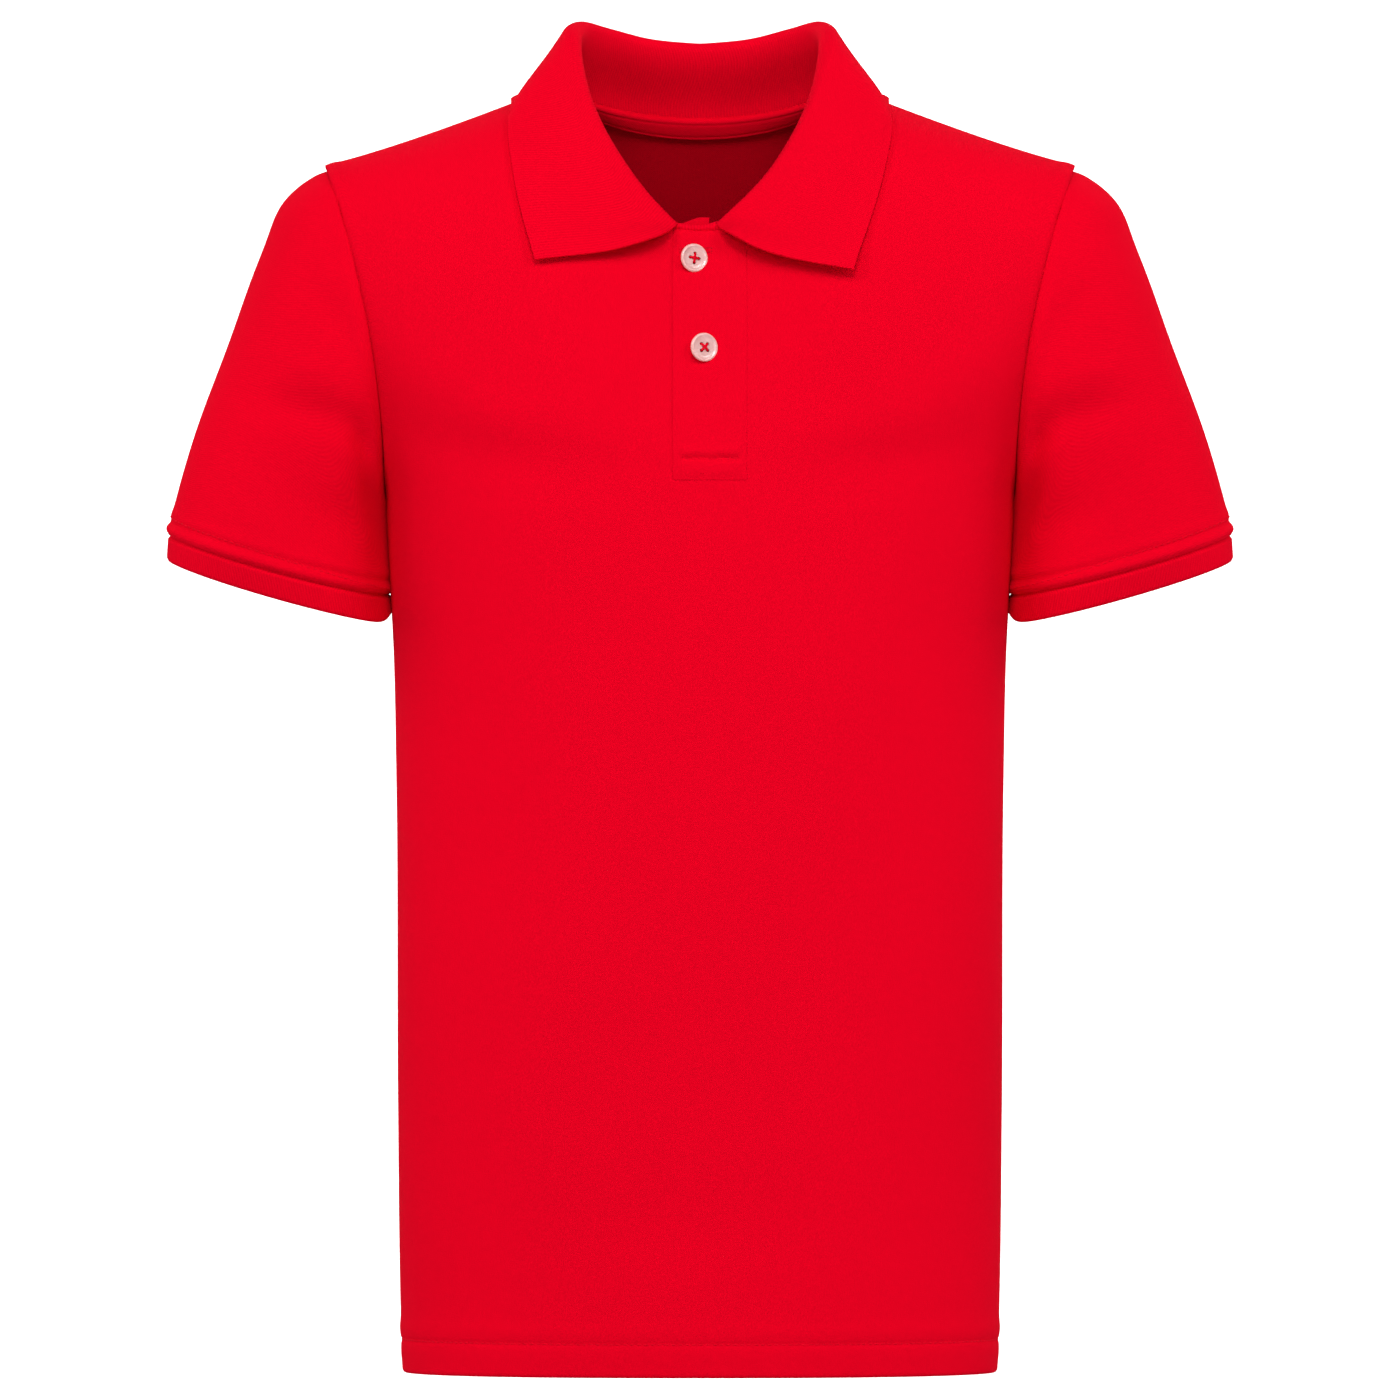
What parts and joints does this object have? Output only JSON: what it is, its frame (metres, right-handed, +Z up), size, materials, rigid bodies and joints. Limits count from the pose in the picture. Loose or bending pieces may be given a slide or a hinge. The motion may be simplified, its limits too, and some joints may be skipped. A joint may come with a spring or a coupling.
{
  "type": "polo shirt",
  "caption": "Short sleeved knitted polo shirt for a child, filled out as if worn, with a soft rib collar, a short buttoned placket and rib cuffs.",
  "frame": {"origin": "midway between the two points where the shoulder seams meet the collar, inside the neck", "axes": "+Z up along the wearer's body, -Y out of the front, +X to the wearer's left"},
  "size_m": [0.4708, 0.2004, 0.5947],
  "materials": {
    "cloth": "matte red cotton pique knit",
    "rib": "matte red flat knitted rib",
    "button": "glossy pinkish white, faintly pearly"
  },
  "bodies": {
    "root": {"front": "cloth", "back": "cloth", "sleeve_left": "cloth", "sleeve_right": "cloth", "cuff_left": "rib", "cuff_right": "rib", "collar": "rib", "placket_top": "cloth", "placket_under": "cloth", "neck_tape": "cloth", "button_1": "button", "button_2": "button"}
  },
  "joints": []
}
